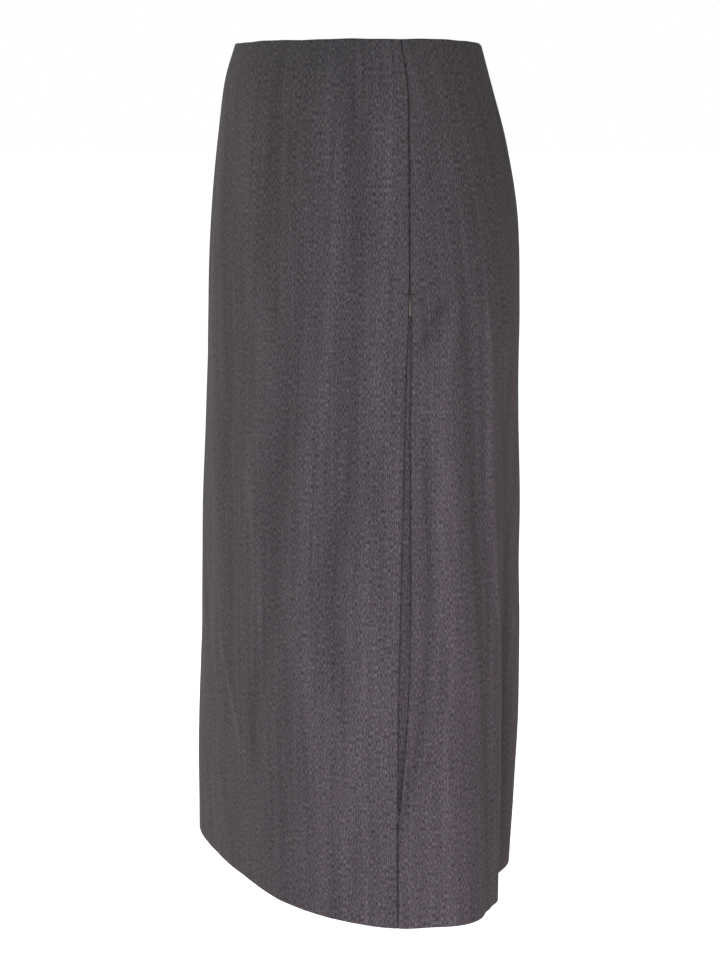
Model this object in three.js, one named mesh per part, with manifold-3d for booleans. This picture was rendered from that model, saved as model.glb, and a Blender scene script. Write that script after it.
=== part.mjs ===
// A fitted pencil skirt that reaches just below the knee, filled out as when it is worn.
// Sizes are millimetres. The origin is the centre of the waist opening at the level of the waist
// edge, +Z is up, -Y is the front and +X is the wearer's left.
// Angles are degrees round the body, from the wearer's left (0) by way of the back (90).

import * as THREE from 'three';
import Module from 'manifold-3d';
import { mergeVertices } from 'three/addons/utils/BufferGeometryUtils.js';

// Driving dimensions
const skirtLength = 700;
const clothThickness = 1.5;
const liningThickness = 1;
const seamGap = 0.3;
const layerGap = 0.3;
const turnedTop = { height: 7, thickness: 2.3 };
const hemAllowance = { height: 40, thickness: 2.5 };
const hemTop = skirtLength - hemAllowance.height;
const thicknessRun = 1.5;
const backWaistDip = { drop: 6, fadesAt: 200, power: 4 };

// The level sections of the worn skirt: how far the cloth reaches to each side, to the front and to
// the back, how square the front curve is (2 is an ellipse), and how many degrees the side seam
// lies forward of the widest point.
const sections = [
  { depth: 0, side: 124, front: 97, back: 97, squareness: 2, seam: 10 },
  { depth: 30, side: 135, front: 106, back: 104, squareness: 2, seam: 9 },
  { depth: 80, side: 150, front: 111, back: 117, squareness: 2, seam: 11 },
  { depth: 140, side: 165, front: 115, back: 125, squareness: 2, seam: 13.5 },
  { depth: 200, side: 174, front: 117, back: 125, squareness: 2, seam: 15 },
  { depth: 280, side: 178, front: 117, back: 124, squareness: 2.1, seam: 17 },
  { depth: 400, side: 182, front: 117, back: 130, squareness: 2.3, seam: 19 },
  { depth: 550, side: 188, front: 115, back: 129, squareness: 2.5, seam: 22 },
  { depth: skirtLength, side: 194, front: 113, back: 120, squareness: 2.6, seam: 23.5 },
];

// The folds of the cloth below the hips. Each one leans from its top angle to its hem angle, begins
// at one depth and is full at another, and stands out by its size, or in where that is negative.
const folds = [
  { name: 'left back ridge', top: 15, hem: 32, begins: 220, full: 560, halfWidth: 9, size: 3.5 },
  { name: 'left back flat', top: 36, hem: 44, begins: 200, full: 580, halfWidth: 38, size: -16 },
  { name: 'left back hollow', top: 32, hem: 52, begins: 260, full: 620, halfWidth: 17, size: -6 },
  { name: 'left side swell', top: 2, hem: 2, begins: 540, full: 700, halfWidth: 18, size: 6 },
  { name: 'left back swell', top: 82, hem: 76, begins: 300, full: 690, halfWidth: 26, size: 7.5 },
  { name: 'right back swell', top: 100, hem: 106, begins: 320, full: 690, halfWidth: 26, size: 6 },
  { name: 'right back flat', top: 144, hem: 137, begins: 260, full: 660, halfWidth: 33, size: -10 },
  { name: 'right back hollow', top: 144, hem: 138, begins: 280, full: 640, halfWidth: 15, size: -6 },
  { name: 'right back ridge', top: 162, hem: 153, begins: 240, full: 600, halfWidth: 10, size: 3 },
  { name: 'right front swell', top: -120, hem: -130, begins: 500, full: 640, halfWidth: 26, size: 4 },
  { name: 'left front flat', top: -42, hem: -42, begins: 420, full: 690, halfWidth: 25, size: -4 },
];

// The slit in each side seam: how far the back panel's edge stands away from the front panel's.
const slit = [
  { depth: 192, gap: 0 },
  { depth: 208, gap: 1.5 },
  { depth: 230, gap: 2.2 },
  { depth: 295, gap: 3.7 },
  { depth: 355, gap: 5.2 },
  { depth: 435, gap: 6.9 },
  { depth: 500, gap: 7.9 },
  { depth: 548, gap: 5.9 },
  { depth: 580, gap: 3.4 },
  { depth: 617, gap: 0 },
];
const underlay = { top: 213, bottom: 600, columns: 3 };
const lining = { top: 189, bottom: 628, columns: 4 };

// The short parting of the centre back seam that the zip slider's neck passes through.
const zipParting = [
  { depth: 9, gap: 0 },
  { depth: 12, gap: 1.9 },
  { depth: 20, gap: 1.9 },
  { depth: 24, gap: 0 },
];
const slider = {
  depth: 16,
  plate: { width: 7, thickness: 2.2, height: 9 },
  neck: { width: 1.4, height: 4.4 },
  bridge: { width: 1.6, hingeHeight: 2.6, holeRadius: 1.25, wall: 1, sides: 20 },
};
const pull = {
  bar: 1.2,
  windowWidth: 2.6,
  windowEnd: 3,
  topWidth: 5,
  endWidth: 6.6,
  length: 22,
  cornerRadius: 0.6,
  restLean: 3.5,
};

// How finely the panels are divided
const frontColumns = 28;
const backColumns = 28;
const tallestRow = 32;
const probeDegrees = 0.25;

const colours = { cloth: '#57525a', underlay: '#4d484f', lining: '#a79d93', metal: '#434147' };

// A column of a table at a depth, on a smooth curve through its rows.
function readTable(table, depth, column) {
  const last = table.length - 1;
  const slopeBetween = (row) => (
    (table[row + 1][column] - table[row][column]) / (table[row + 1].depth - table[row].depth)
  );
  const slopeAt = (row) => {
    if (row === 0) return slopeBetween(0);
    if (row === last) return slopeBetween(last - 1);
    return (slopeBetween(row - 1) + slopeBetween(row)) / 2;
  };
  const level = THREE.MathUtils.clamp(depth, table[0].depth, table[last].depth);
  let row = 0;
  while (row < last - 1 && level > table[row + 1].depth) row += 1;
  const span = table[row + 1].depth - table[row].depth;
  const part = (level - table[row].depth) / span;
  const square = part * part;
  const cube = square * part;
  return (2 * cube - 3 * square + 1) * table[row][column]
    + (cube - 2 * square + part) * span * slopeAt(row)
    + (3 * square - 2 * cube) * table[row + 1][column]
    + (cube - square) * span * slopeAt(row + 1);
}

// How far the folds push the cloth out at an angle and a depth.
function foldHeight(degrees, depth) {
  let height = 0;
  for (const fold of folds) {
    const lean = THREE.MathUtils.clamp((depth - fold.begins) / (skirtLength - fold.begins), 0, 1);
    const centre = THREE.MathUtils.lerp(fold.top, fold.hem, lean);
    const away = THREE.MathUtils.euclideanModulo(degrees - centre + 180, 360) - 180;
    const across = Math.min(Math.abs(away) / fold.halfWidth, 1);
    const crest = (1 + Math.cos(Math.PI * across)) / 2;
    height += fold.size * crest * THREE.MathUtils.smoothstep(depth, fold.begins, fold.full);
  }
  return height;
}

// A point of the cloth's outer face.
function outerPoint(degrees, depth) {
  const angle = THREE.MathUtils.degToRad(degrees);
  const sideways = Math.cos(angle);
  const backward = Math.sin(angle);
  const inFront = backward < 0;
  const side = readTable(sections, depth, 'side');
  const reach = readTable(sections, depth, inFront ? 'front' : 'back');
  const power = inFront ? readTable(sections, depth, 'squareness') : 2;
  const scale = (Math.abs(sideways) ** power + Math.abs(backward) ** power) ** (-1 / power);
  const outward = new THREE.Vector3(sideways / side, backward / reach, 0).normalize();
  const dipFade = Math.max(1 - depth / backWaistDip.fadesAt, 0) ** 2;
  const dip = backWaistDip.drop * Math.max(backward, 0) ** backWaistDip.power * dipFade;
  return new THREE.Vector3(side * sideways * scale, reach * backward * scale, -depth - dip)
    .addScaledVector(outward, foldHeight(degrees, depth));
}

// The level direction along the cloth's outer face, as long as one degree's run of cloth.
function runPerDegree(degrees, depth) {
  const ahead = outerPoint(degrees + probeDegrees, depth);
  const behind = outerPoint(degrees - probeDegrees, depth);
  return ahead.sub(behind).setZ(0).divideScalar(2 * probeDegrees);
}

// A point inset from the outer face, square to the cloth in its level section.
function clothPoint(degrees, depth, inset) {
  const run = runPerDegree(degrees, depth);
  const outward = new THREE.Vector3(run.y, -run.x, 0).normalize();
  return outerPoint(degrees, depth).addScaledVector(outward, -inset);
}

function degreesForRun(distance, degrees, depth) {
  return distance / runPerDegree(degrees, depth).length();
}

// The wall's thickness, with the edge turned in at the waist and the allowance turned up at the hem.
function wallThickness(depth) {
  const topShare = 1 - THREE.MathUtils.smoothstep(depth, turnedTop.height, turnedTop.height + thicknessRun);
  const hemShare = THREE.MathUtils.smoothstep(depth, hemTop - thicknessRun, hemTop);
  return clothThickness
    + (turnedTop.thickness - clothThickness) * topShare
    + (hemAllowance.thickness - clothThickness) * hemShare;
}

// Evenly spread values from one end to the other, both included.
function spread(from, to, steps) {
  return Array.from({ length: steps + 1 }, (_, index) => THREE.MathUtils.lerp(from, to, index / steps));
}

// Depths that pass through each of the stops, no further apart than the tallest row.
function rowsThrough(stops) {
  const rows = [stops[0]];
  for (let index = 1; index < stops.length; index += 1) {
    const steps = Math.ceil((stops[index] - stops[index - 1]) / tallestRow);
    rows.push(...spread(stops[index - 1], stops[index], steps).slice(1));
  }
  return rows;
}

const slitTop = slit[0].depth;
const slitBottom = slit[slit.length - 1].depth;
const topStops = [0, turnedTop.height, turnedTop.height + thicknessRun];
const slitStops = [lining.top, slitTop, underlay.top, underlay.bottom, slitBottom, lining.bottom];
const hemStops = [hemTop - thicknessRun, hemTop, skirtLength];
const zipStops = zipParting.slice(1).map((row) => row.depth);
const panelRows = rowsThrough([...topStops, ...zipStops, ...slitStops, ...hemStops]);

// The angles of the panels' columns at a depth. Each panel stops half a seam gap short of its seam,
// and the back panels stand further off along the slit and at the zip.
function frontAngles(depth) {
  const seam = -readTable(sections, depth, 'seam');
  const edge = seam - degreesForRun(seamGap / 2, seam, depth);
  return spread(-180 - edge, edge, frontColumns);
}

function backLeftAngles(depth) {
  const seam = -readTable(sections, depth, 'seam');
  const slitGap = Math.max(readTable(slit, depth, 'gap'), 0);
  const zipGap = Math.max(readTable(zipParting, depth, 'gap'), 0);
  const start = seam + degreesForRun(seamGap / 2 + slitGap, seam, depth);
  const end = 90 - degreesForRun((seamGap + zipGap) / 2, 90, depth);
  return spread(start, end, backColumns);
}

const mirrored = (angles) => angles.map((degrees) => 180 - degrees).reverse();

const backRightAngles = (depth) => mirrored(backLeftAngles(depth));

// The columns of the front and of the left back panel on both sides of the left seam.
function leftSeamAngles(depth, columns) {
  return [...frontAngles(depth).slice(-columns), ...backLeftAngles(depth).slice(0, columns)];
}

// A closed wall of cloth between an outer and an inner grid of points.
function wallGeometry(rows, anglesAt, outerInset, innerInset) {
  const gridAt = (inset) => rows.map((depth) => (
    anglesAt(depth).map((degrees) => clothPoint(degrees, depth, inset(depth)))
  ));
  const points = [...gridAt(outerInset), ...gridAt(innerInset)].flat();
  const columns = points.length / rows.length / 2;
  const foot = rows.length - 1;
  const edge = columns - 1;
  const outer = (row, column) => row * columns + column;
  const inner = (row, column) => (rows.length + row) * columns + column;
  const indices = [];
  const addQuad = (a, b, c, d) => indices.push(a, b, c, a, c, d);
  for (let row = 0; row < foot; row += 1) {
    for (let column = 0; column < edge; column += 1) {
      addQuad(outer(row, column), outer(row + 1, column), outer(row + 1, column + 1), outer(row, column + 1));
      addQuad(inner(row, column), inner(row, column + 1), inner(row + 1, column + 1), inner(row + 1, column));
    }
    addQuad(outer(row, 0), inner(row, 0), inner(row + 1, 0), outer(row + 1, 0));
    addQuad(outer(row, edge), outer(row + 1, edge), inner(row + 1, edge), inner(row, edge));
  }
  for (let column = 0; column < edge; column += 1) {
    addQuad(outer(0, column), outer(0, column + 1), inner(0, column + 1), inner(0, column));
    addQuad(outer(foot, column), inner(foot, column), inner(foot, column + 1), outer(foot, column + 1));
  }
  const geometry = new THREE.BufferGeometry();
  const coordinates = points.flatMap((point) => point.toArray());
  geometry.setAttribute('position', new THREE.Float32BufferAttribute(coordinates, 3));
  geometry.setIndex(indices);
  geometry.computeVertexNormals();
  return geometry;
}

const panelGeometry = (anglesAt) => wallGeometry(panelRows, anglesAt, () => 0, wallThickness);

// A strip behind the slit, made from the panels' own points, moved in.
function stripGeometry(strip, side, inset, thickness) {
  const rows = panelRows.filter((depth) => depth >= strip.top && depth <= strip.bottom);
  const leftAngles = (depth) => leftSeamAngles(depth, strip.columns);
  const anglesAt = side === 'left' ? leftAngles : (depth) => mirrored(leftAngles(depth));
  return wallGeometry(rows, anglesAt, () => inset, () => inset + thickness);
}

// Geometries joined into one closed body.
const manifoldLibrary = await Module();
manifoldLibrary.setup();

function toManifold(geometry) {
  const bare = geometry.clone();
  bare.deleteAttribute('normal');
  bare.deleteAttribute('uv');
  const merged = mergeVertices(bare);
  const vertProperties = new Float32Array(merged.attributes.position.array);
  const triVerts = new Uint32Array(merged.index.array);
  return new manifoldLibrary.Manifold(new manifoldLibrary.Mesh({ numProp: 3, vertProperties, triVerts }));
}

function joinedGeometry(geometries) {
  const [first, ...others] = geometries.map(toManifold);
  const joined = others.reduce((body, other) => body.add(other), first).getMesh();
  const geometry = new THREE.BufferGeometry();
  geometry.setAttribute('position', new THREE.BufferAttribute(joined.vertProperties, 3));
  geometry.setIndex(new THREE.BufferAttribute(joined.triVerts, 1));
  geometry.computeVertexNormals();
  return geometry;
}

// The zip parts are drawn on the cloth at the centre back: X across, Y out of the cloth, Z up along it.
function sliderGeometry() {
  const { plate, neck, bridge } = slider;
  const plateFace = -(clothThickness + layerGap);
  const plateBox = new THREE.BoxGeometry(plate.width, plate.thickness, plate.height);
  plateBox.translate(0, plateFace - plate.thickness / 2, 0);

  const neckTop = bridge.hingeHeight - bridge.holeRadius - bridge.wall / 4;
  const neckFoot = plateFace - plate.thickness / 2;
  const neckBox = new THREE.BoxGeometry(neck.width, neckTop - neckFoot, neck.height);
  neckBox.translate(0, (neckTop + neckFoot) / 2, 0);

  const ring = new THREE.Shape();
  ring.absarc(0, 0, bridge.holeRadius + bridge.wall, 0, 2 * Math.PI);
  const hole = new THREE.Path();
  hole.absarc(0, 0, bridge.holeRadius, 0, 2 * Math.PI, true);
  ring.holes.push(hole);
  const ringBody = new THREE.ExtrudeGeometry(ring, {
    depth: bridge.width, bevelEnabled: false, curveSegments: bridge.sides,
  });
  ringBody.translate(0, 0, -bridge.width / 2);
  ringBody.rotateY(Math.PI / 2);
  ringBody.translate(0, bridge.hingeHeight, 0);
  return joinedGeometry([plateBox, neckBox, ringBody]);
}

// A flat tab round the hinge: a bar, a window for the slider's bridge, and a tab with a round end.
function pullGeometry() {
  const { bar, windowWidth, windowEnd, topWidth, endWidth, length, cornerRadius } = pull;
  const endRadius = endWidth / 2;
  const tab = new THREE.Shape();
  tab.moveTo(-topWidth / 2 + cornerRadius, bar / 2);
  tab.lineTo(topWidth / 2 - cornerRadius, bar / 2);
  tab.lineTo(topWidth / 2, bar / 2 - cornerRadius);
  tab.lineTo(endRadius, endRadius - length);
  tab.absarc(0, endRadius - length, endRadius, 0, -Math.PI, true);
  tab.lineTo(-topWidth / 2, bar / 2 - cornerRadius);
  tab.closePath();
  const opening = new THREE.Path();
  opening.moveTo(-windowWidth / 2, -bar / 2);
  opening.lineTo(-windowWidth / 2, -windowEnd);
  opening.lineTo(windowWidth / 2, -windowEnd);
  opening.lineTo(windowWidth / 2, -bar / 2);
  opening.closePath();
  tab.holes.push(opening);
  const geometry = new THREE.ExtrudeGeometry(tab, { depth: bar, bevelEnabled: false, curveSegments: 10 });
  geometry.translate(0, 0, -bar / 2);
  geometry.rotateX(Math.PI / 2);
  return geometry;
}

function addPiece(parent, name, geometry, colour, finish = { roughness: 0.9, metalness: 0 }) {
  const material = new THREE.MeshStandardMaterial({ color: colour, ...finish });
  const mesh = new THREE.Mesh(geometry, material);
  mesh.name = name;
  parent.add(mesh);
  return mesh;
}

const skirt = new THREE.Group();
addPiece(skirt, 'front', panelGeometry(frontAngles), colours.cloth);
addPiece(skirt, 'back_left', panelGeometry(backLeftAngles), colours.cloth);
addPiece(skirt, 'back_right', panelGeometry(backRightAngles), colours.cloth);

const underlayInset = clothThickness + layerGap;
const liningInset = underlayInset + clothThickness + layerGap;
for (const side of ['left', 'right']) {
  const underlayBody = stripGeometry(underlay, side, underlayInset, clothThickness);
  const liningBody = stripGeometry(lining, side, liningInset, liningThickness);
  addPiece(skirt, `slit_underlay_${side}`, underlayBody, colours.underlay);
  addPiece(skirt, `slit_lining_${side}`, liningBody, colours.lining);
}

const metal = { roughness: 0.45, metalness: 0.6 };
const zip = new THREE.Group();
const belowSlider = outerPoint(90, slider.depth + 1);
const aboveSlider = outerPoint(90, slider.depth - 1);
const clothLean = Math.atan2(belowSlider.y - aboveSlider.y, aboveSlider.z - belowSlider.z);
zip.position.copy(outerPoint(90, slider.depth));
zip.rotation.x = clothLean;
addPiece(zip, 'zip_slider', sliderGeometry(), colours.metal, metal);
const pullMesh = addPiece(zip, 'zip_pull', pullGeometry(), colours.metal, metal);
pullMesh.position.y = slider.bridge.hingeHeight;
pullMesh.rotation.x = -THREE.MathUtils.degToRad(pull.restLean);
skirt.add(zip);

export default skirt;
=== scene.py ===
# A charcoal worsted pencil skirt, filled out as when it is worn.
# Sizes are millimetres until they are written to a mesh. Angles are degrees round the body, from
# the wearer's left (0) by way of the back (90) to the right (180), with the front at -90.

import math

import bmesh
import bpy
import numpy as np
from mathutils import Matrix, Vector


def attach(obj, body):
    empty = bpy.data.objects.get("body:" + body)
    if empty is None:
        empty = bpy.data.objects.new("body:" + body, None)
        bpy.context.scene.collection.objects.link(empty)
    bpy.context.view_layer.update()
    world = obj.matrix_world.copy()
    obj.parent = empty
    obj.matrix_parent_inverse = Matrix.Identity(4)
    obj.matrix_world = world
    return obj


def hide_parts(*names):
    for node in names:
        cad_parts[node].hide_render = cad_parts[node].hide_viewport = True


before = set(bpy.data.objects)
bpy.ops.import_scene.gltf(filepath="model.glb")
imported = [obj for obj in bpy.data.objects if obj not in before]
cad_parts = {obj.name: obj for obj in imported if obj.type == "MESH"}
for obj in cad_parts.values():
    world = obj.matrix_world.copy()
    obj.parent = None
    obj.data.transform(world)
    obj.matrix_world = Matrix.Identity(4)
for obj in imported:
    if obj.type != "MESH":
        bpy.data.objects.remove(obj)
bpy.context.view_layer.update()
print("frame loaded with", len(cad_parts), "nodes")

millimetre = 0.001


def tableOf(columns, rows):
    return [dict(zip(columns, row)) for row in rows]


skirt = {
    "length": 700,
    "cloth": 1.5,  # thickness of the cloth
    "topHeight": 7,  # edge turned in at the waist
    "topThickness": 2.3,
    "hemHeight": 40,  # allowance turned up at the hem
    "hemThickness": 2.5,
    "thicknessRun": 1.5,
    "seamGap": -0.04,  # the seamed edges press together
    "rollWidth": 0.95,  # how near its seam a pressed edge turns in
    "rollShade": 3.6,  # how much painted shade darkens it there
    "backDip": 6,
    "backDipFades": 200,
    "backDipPower": 4,
    "meshStep": 3.1,  # the panels' mesh, about this fine
}

# Level sections: how far the cloth reaches each way, how square the front curve is, and how many
# degrees the side seam lies forward of the widest point.
sections = tableOf(["depth", "side", "front", "back", "squareness", "seam"], [
    (0, 124, 97, 97, 2, 10),
    (30, 135, 106, 104, 2, 9),
    (80, 150, 111, 117, 2, 11),
    (140, 165, 115, 125, 2, 13.5),
    (200, 174, 117, 125, 2, 15),
    (280, 178, 117, 124, 2.1, 17),
    (400, 182, 117, 130, 2.3, 19),
    (550, 188, 115, 129, 2.5, 22),
    (700, 194, 113, 120, 2.6, 23.5),
])

# The large folds below the hips, as the solids have them
folds = tableOf(["name", "top", "hem", "begins", "full", "halfWidth", "size"], [
    ("left back ridge", 15, 32, 220, 560, 9, 3.5),
    ("left back flat", 36, 44, 200, 580, 38, -16),
    ("left back hollow", 32, 52, 260, 620, 17, -6),
    ("left side swell", 2, 2, 540, 700, 18, 6),
    ("left back swell", 82, 76, 300, 690, 26, 7.5),
    ("right back swell", 100, 106, 320, 690, 26, 6),
    ("right back flat", 144, 137, 260, 660, 33, -10),
    ("right back hollow", 144, 138, 280, 640, 15, -6),
    ("right back ridge", 162, 153, 240, 600, 10, 3),
    ("right front swell", -120, -130, 500, 640, 26, 4),
    ("left front flat", -42, -42, 420, 690, 25, -4),
])

# Soft folds too shallow for the solids: long ridges and hollows of the hanging cloth, each along a
# path of (depth, degrees), with its half width and its height in millimetres
softFolds = tableOf(["name", "width", "size", "path"], [
    ("far left hollow", 14, -1.1,
     [(70, -93), (200, -90), (270, -88), (350, -91), (430, -89), (560, -93)]),
    ("left light fold", 12, 0.9,
     [(30, -80), (160, -77), (230, -72), (300, -71), (350, -76), (410, -72), (480, -75)]),
    ("left hollow", 13, -1.1,
     [(20, -64), (120, -65), (170, -68), (230, -60), (300, -59), (410, -64), (460, -67), (530, -74)]),
    ("front light fold", 12, 1.1,
     [(40, -40), (150, -41), (225, -44), (280, -47), (330, -51), (390, -54), (460, -55), (520, -53),
      (600, -48)]),
    ("front hollow", 10, -1.3,
     [(50, -31), (150, -33), (220, -34), (280, -36), (340, -38), (400, -42), (450, -44), (520, -41)]),
    ("hip light fold", 12, 1, [(60, -19), (120, -21), (190, -24), (240, -28), (310, -29)]),
    ("low front light fold", 13, 0.8, [(430, -34), (510, -34), (590, -38), (650, -42)]),
    ("low front hollow", 16, -0.7, [(520, -62), (590, -63), (740, -60)]),
    ("hollow beside the slit", 6, -1.5,
     [(330, -9.5), (440, -9.5), (500, -11.5), (540, -14.5), (585, -18), (612, -20.5)]),
    ("ridge beside the slit", 11, 1.2,
     [(205, 1), (240, -1), (280, -2.5), (340, -2), (390, -3), (440, -0.5), (500, 0), (550, -3.5), (620, -1)]),
    ("left back near hollow", 10, -1.2,
     [(190, 8), (280, 8.5), (330, 9.5), (380, 11.5), (440, 13), (520, 16), (600, 18), (740, 17)]),
    ("left back pleat", 6.5, 2.4,
     [(200, 17), (300, 19.5), (370, 20), (430, 23), (490, 28), (560, 32), (630, 34)]),
    ("left back low hollow", 12, -0.7, [(650, 37), (690, 36), (760, 35)]),
    ("side waist light fold", 20, 0.9, [(-40, -14), (60, -16), (130, -18)]),
    ("left back far hollow", 14, -1.6, [(280, 31), (380, 36), (460, 44), (540, 50), (640, 55)]),
    ("centre back hollow", 17, -1.6, [(330, 93), (480, 91), (740, 90)]),
    ("left back light fold", 15, 0.9, [(120, 66), (260, 70), (420, 72), (600, 68)]),
    ("right back light fold", 15, 0.9, [(150, 116), (300, 112), (450, 113), (640, 118)]),
    ("right back hollow", 13, -0.9, [(230, 150), (380, 146), (520, 134), (650, 128)]),
    ("right back pleat", 9, 1.1, [(210, 163), (330, 161), (450, 157), (640, 148)]),
    ("right back near hollow", 10, -1.1, [(200, 172), (320, 171), (450, 168), (740, 164)]),
    ("ridge by the right slit", 11, 1, [(210, 180), (300, 182), (420, 181), (560, 184), (630, 181)]),
    ("hollow by the right slit", 6.5, -1.2, [(350, 190), (470, 190), (560, 195), (610, 200)]),
    ("right hip light fold", 12, 0.9, [(70, 200), (150, 203), (240, 206), (330, 208)]),
    ("right front hollow", 11, -1.1, [(60, -148), (180, -146), (300, -142), (420, -137), (520, -139)]),
    ("right front light fold", 12, 1, [(60, -137), (220, -134), (340, -128), (460, -125), (600, -131)]),
    ("right hollow", 13, -1, [(40, -117), (180, -113), (320, -119), (450, -114), (560, -108)]),
    ("centre front light fold", 12, 0.8, [(50, -102), (220, -104), (380, -101), (540, -104)]),
])

# Short creases, each a soft trough or ridge between two places, in degrees and depth
creases = tableOf(["name", "from", "to", "width", "size"], [
    ("low left front crease", (-98, 505), (-83, 590), 5, 1.2),
    ("low left front hollow", (-77, 520), (-77, 592), 9, -1.1),
    ("upper tack pull", (-0.5, 198), (-12.5, 240), 6, -2.1),
    ("upper tack swell", (3, 206), (-1, 262), 6, 1.5),
    ("upper tack pucker", (-12, 190), (-12.5, 218), 3.5, -0.5),
    ("lower tack pull", (-10, 520), (-20, 606), 4.5, -1.7),
    ("lower tack second pull", (-9, 552), (-14, 584), 3.5, -1.1),
    ("lower tack swell", (-17, 552), (-21.5, 596), 3.5, 0.6),
    ("right upper tack pull", (181, 200), (192, 243), 5.5, -1.3),
    ("right upper tack swell", (177, 210), (181, 264), 6, 0.8),
    ("right lower tack pull", (190, 530), (200, 606), 5, -1.1),
    ("right front low crease", (-150, 470), (-141, 560), 8, -1),
    ("back sitting crease", (60, 215), (104, 246), 9, -1.1),
    ("back low crease", (112, 500), (98, 590), 9, -1.2),
    ("back left slant", (58, 330), (70, 430), 10, 0.9),
])
millimetresPerDegree = 3.1  # round the cloth, for the folds and creases
creaseGrows, creaseFades = (-0.25, 0.35), (0.65, 1.25)  # as shares of a crease's length
foldEnds = 38  # how far a soft fold takes to fade at its ends
drapeLimit = 2.2  # past this lift a fold's painted highlight or painted shade grows no stronger

# The slight unevenness of pressed cloth, as long waves round and down the skirt
unevenness = tableOf(["size", "around", "down", "phase"], [
    (0.28, 9, 410, 0.5),
    (0.2, 14, -290, 2.1),
    (0.12, 23, 150, 4.0),
    (0.07, 41, -83, 1.2),
])

wavesAtWaist = 0.35  # the share of them that is left at the waist
wavesFullDepth = 120

# Small ripples of the waist edge, up and down
waistRipples = [{"size": 0.25, "around": 9, "phase": 0.6}, {"size": 0.12, "around": 23, "phase": 2}]
waistRipplesEnd = 40

# The slit in each side seam: how far the back panel's edge stands away from the front panel's
slit = tableOf(["depth", "gap"], [
    (192, 0),
    (208, 1.5),
    (230, 2.2),
    (295, 3.7),
    (355, 5.2),
    (435, 6.9),
    (500, 7.9),
    (548, 5.9),
    (580, 3.4),
    (617, 0),
])

# The short parting that the zip slider's neck passes through
zipParting = tableOf(["depth", "gap"], [
    (9, 0),
    (12, 1.9),
    (20, 1.9),
    (24, 0),
])

# Darts run down from the waist, at a distance from the side seam that grows with depth
darts = {
    "front": {"start": 30, "drift": 0.18, "length": 60, "towards": -1, "scaleAt": -8},
    "back": {"start": 104, "drift": 0.12, "length": 112, "towards": 1, "scaleAt": 26},
}
dartGroove = {"width": 0.8, "depth": 0.6, "fades": 0.7}
dartTip = {"halfWidth": 9, "halfLength": 12, "depth": 0.35}


# The camera comes first: the photograph's view, from the wearer's left and a little in front
camera = {
    "lens": 85,
    "sensor": 36,
    "azimuth": 66,
    "distance": 1.926,
    "height": -0.06,
    "aside": 0.0025,
    "pitchDown": 9.125,
}


def makeCamera():
    turn = math.radians(camera["azimuth"])
    pitch = math.radians(camera["pitchDown"])
    right = Vector((math.cos(turn), math.sin(turn), 0))
    ahead = Vector((-math.sin(turn), math.cos(turn), 0))
    lens = bpy.data.cameras.new("camera")
    lens.lens = camera["lens"]
    lens.sensor_width = camera["sensor"]
    eye = bpy.data.objects.new("camera", lens)
    level = Vector((0, 0, camera["height"]))
    eye.location = right * camera["aside"] - ahead * camera["distance"] + level
    look = ahead * math.cos(pitch) - Vector((0, 0, math.sin(pitch)))
    eye.rotation_euler = look.to_track_quat("-Z", "Y").to_euler()
    bpy.context.scene.collection.objects.link(eye)
    bpy.context.scene.camera = eye


makeCamera()


# The cloth's surface
def readTable(table, depth, column):
    depths = np.array([row["depth"] for row in table], float)
    values = np.array([row[column] for row in table], float)
    between = np.diff(values) / np.diff(depths)
    slopes = np.concatenate([between[:1], (between[:-1] + between[1:]) / 2, between[-1:]])
    level = np.clip(depth, depths[0], depths[-1])
    row = np.clip(np.searchsorted(depths, level, side="right") - 1, 0, len(depths) - 2)
    span = depths[row + 1] - depths[row]
    part = (level - depths[row]) / span
    square, cube = part**2, part**3
    return (
        (2 * cube - 3 * square + 1) * values[row]
        + (cube - 2 * square + part) * span * slopes[row]
        + (3 * square - 2 * cube) * values[row + 1]
        + (cube - square) * span * slopes[row + 1]
    )


def smoothStep(value, begins, full):
    part = np.clip((value - begins) / (full - begins), 0, 1)
    return part * part * (3 - 2 * part)


def angleFrom(degrees, centre):
    return np.mod(degrees - centre + 180, 360) - 180


def foldHeight(degrees, depth):
    height = np.zeros(np.broadcast(degrees, depth).shape)
    for fold in folds:
        lean = np.clip((depth - fold["begins"]) / (skirt["length"] - fold["begins"]), 0, 1)
        centre = fold["top"] + (fold["hem"] - fold["top"]) * lean
        across = np.minimum(np.abs(angleFrom(degrees, centre)) / fold["halfWidth"], 1)
        crest = (1 + np.cos(np.pi * across)) / 2
        height = height + fold["size"] * crest * smoothStep(depth, fold["begins"], fold["full"])
    return height


def outerPoint(degrees, depth):
    degrees, depth = np.broadcast_arrays(np.asarray(degrees, float), np.asarray(depth, float))
    angle = np.radians(degrees)
    sideways, backward = np.cos(angle), np.sin(angle)
    inFront = backward < 0
    side = readTable(sections, depth, "side")
    reach = np.where(inFront, readTable(sections, depth, "front"), readTable(sections, depth, "back"))
    power = np.where(inFront, readTable(sections, depth, "squareness"), 2)
    scale = (np.abs(sideways) ** power + np.abs(backward) ** power) ** (-1 / power)
    outward = np.stack([sideways / side, backward / reach], -1)
    outward = outward / np.linalg.norm(outward, axis=-1, keepdims=True)
    height = foldHeight(degrees, depth)
    dipFade = np.maximum(1 - depth / skirt["backDipFades"], 0) ** 2
    dip = skirt["backDip"] * np.maximum(backward, 0) ** skirt["backDipPower"] * dipFade
    x = side * sideways * scale + outward[..., 0] * height
    y = reach * backward * scale + outward[..., 1] * height
    return np.stack([x, y, -depth - dip], -1)


def runPerDegree(degrees, depth):
    probe = 0.25
    run = (outerPoint(degrees + probe, depth) - outerPoint(degrees - probe, depth)) / (2 * probe)
    return run[..., :2]


def degreesForRun(distance, degrees, depth):
    return distance / np.linalg.norm(runPerDegree(degrees, depth), axis=-1)


def seamAngle(depth):
    return -readTable(sections, depth, "seam")


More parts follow.
